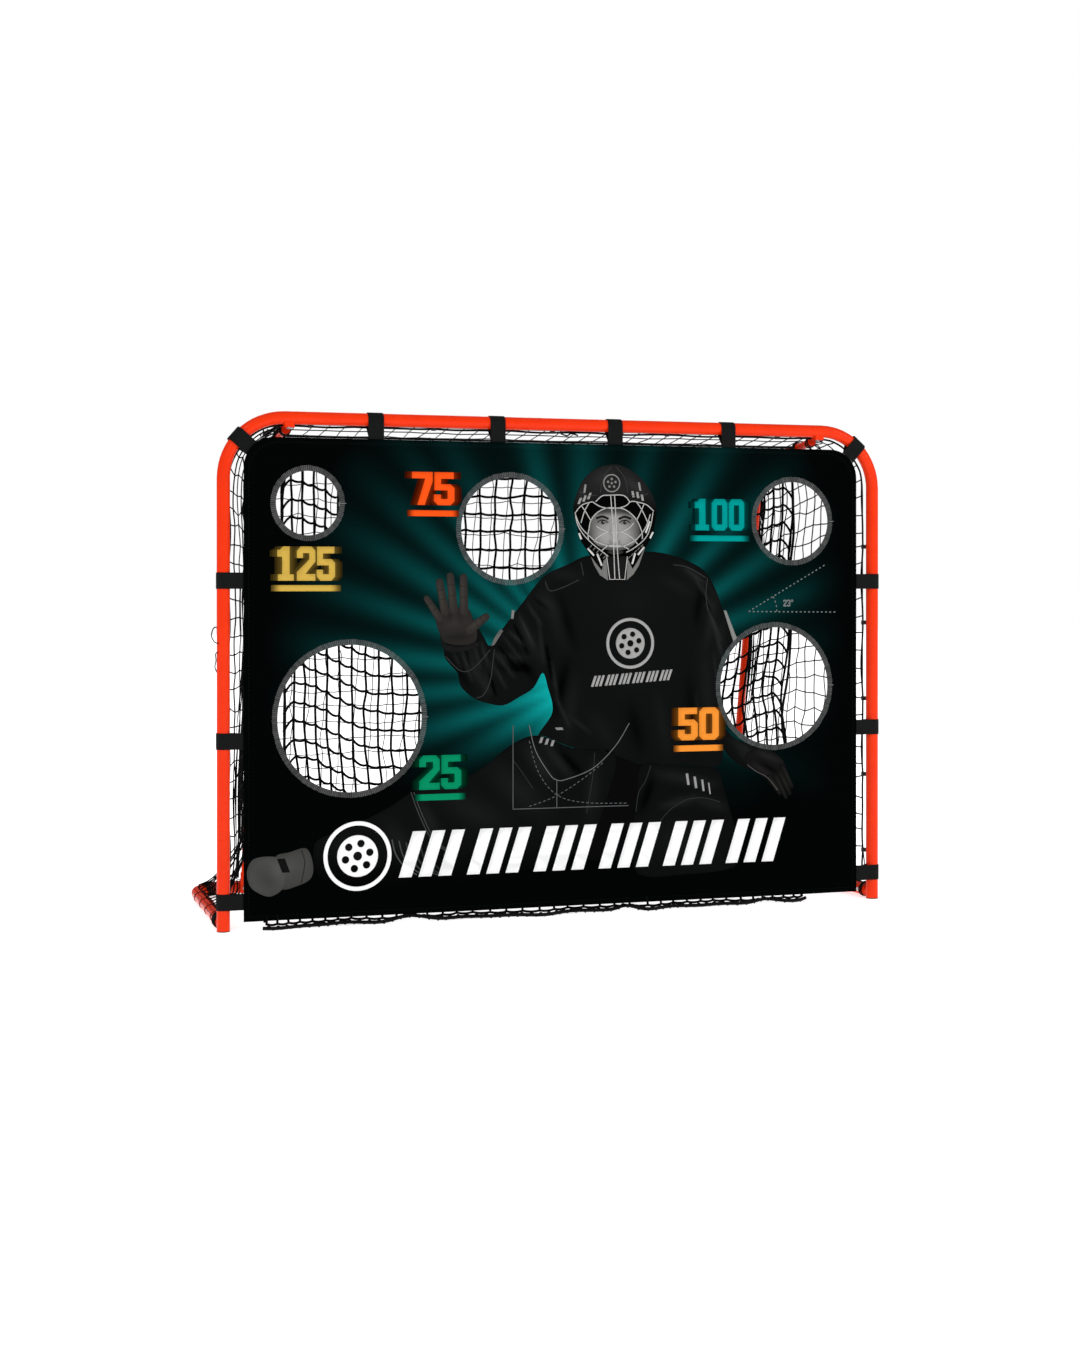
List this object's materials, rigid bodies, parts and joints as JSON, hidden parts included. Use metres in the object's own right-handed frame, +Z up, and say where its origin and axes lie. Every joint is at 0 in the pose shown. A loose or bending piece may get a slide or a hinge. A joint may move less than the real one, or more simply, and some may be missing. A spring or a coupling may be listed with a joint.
{
  "type": "floorball practice goal",
  "caption": "Tubular practice goal with a laced pocket net, a drop net and a strapped-on target sheet with round scoring holes.",
  "frame": {"origin": "on the floor, at the middle of the goal line, under the crossbar's centre line", "axes": "+X to the right seen from in front, +Y from the goal line back into the goal, +Z up"},
  "size_m": [1.6666, 0.6073, 1.1835],
  "materials": {
    "orange_tube": "gloss powder coat on steel tube",
    "black_plastic": "moulded, fine texture",
    "zinc_hardware": "zinc plated",
    "net_cord": "knotted polyethylene cord",
    "black_cord": "braided cord",
    "printed_sheet": "printed coated polyester, satin",
    "grey_binding": "dense overlock stitching",
    "hook_loop": "hook-and-loop pile",
    "webbing": "flat woven webbing"
  },
  "bodies": {
    "frame": {"front_hoop": "orange_tube", "base_frame": "orange_tube", "left_strut": "orange_tube", "right_strut": "orange_tube", "post_end_plugs": "black_plastic", "base_lock_screws": "zinc_hardware", "crossbar_saddles": "black_plastic", "crossbar_screws": "zinc_hardware", "crossbar_rivet_nuts": "zinc_hardware", "foot_saddles": "black_plastic", "foot_screws": "zinc_hardware", "foot_rivet_nuts": "zinc_hardware", "top_net": "net_cord", "back_net": "net_cord", "left_side_net": "net_cord", "right_side_net": "net_cord", "net_border_cord": "black_cord", "net_clips": "black_plastic", "base_lacing": "black_cord", "corner_straps": "webbing", "left_side_straps": "webbing", "right_side_straps": "webbing", "drop_top_cord": "black_cord"},
    "sheet": {"target_sheet": "printed_sheet", "hole_binding_a": "grey_binding", "hole_binding_b": "grey_binding", "hole_binding_c": "grey_binding", "hole_binding_d": "grey_binding", "hole_binding_e": "grey_binding", "loop_patches": "hook_loop", "top_straps": "webbing"},
    "drop": {"drop_net": "net_cord", "drop_left_cord": "black_cord", "drop_right_cord": "black_cord", "drop_rope": "black_cord", "drop_loops": "black_cord"}
  },
  "joints": [
    {"name": "sheet_flip", "type": "hinge", "parent": "frame", "child": "sheet", "pos_m": [0, 0, 1.165], "axis": [1, 0, 0], "range_deg": [-110, 0]},
    {"name": "drop_net_swing", "type": "hinge", "parent": "frame", "child": "drop", "pos_m": [0, 0.115, 1.13132], "axis": [1, 0, 0], "range_deg": [0, 20]}
  ]
}
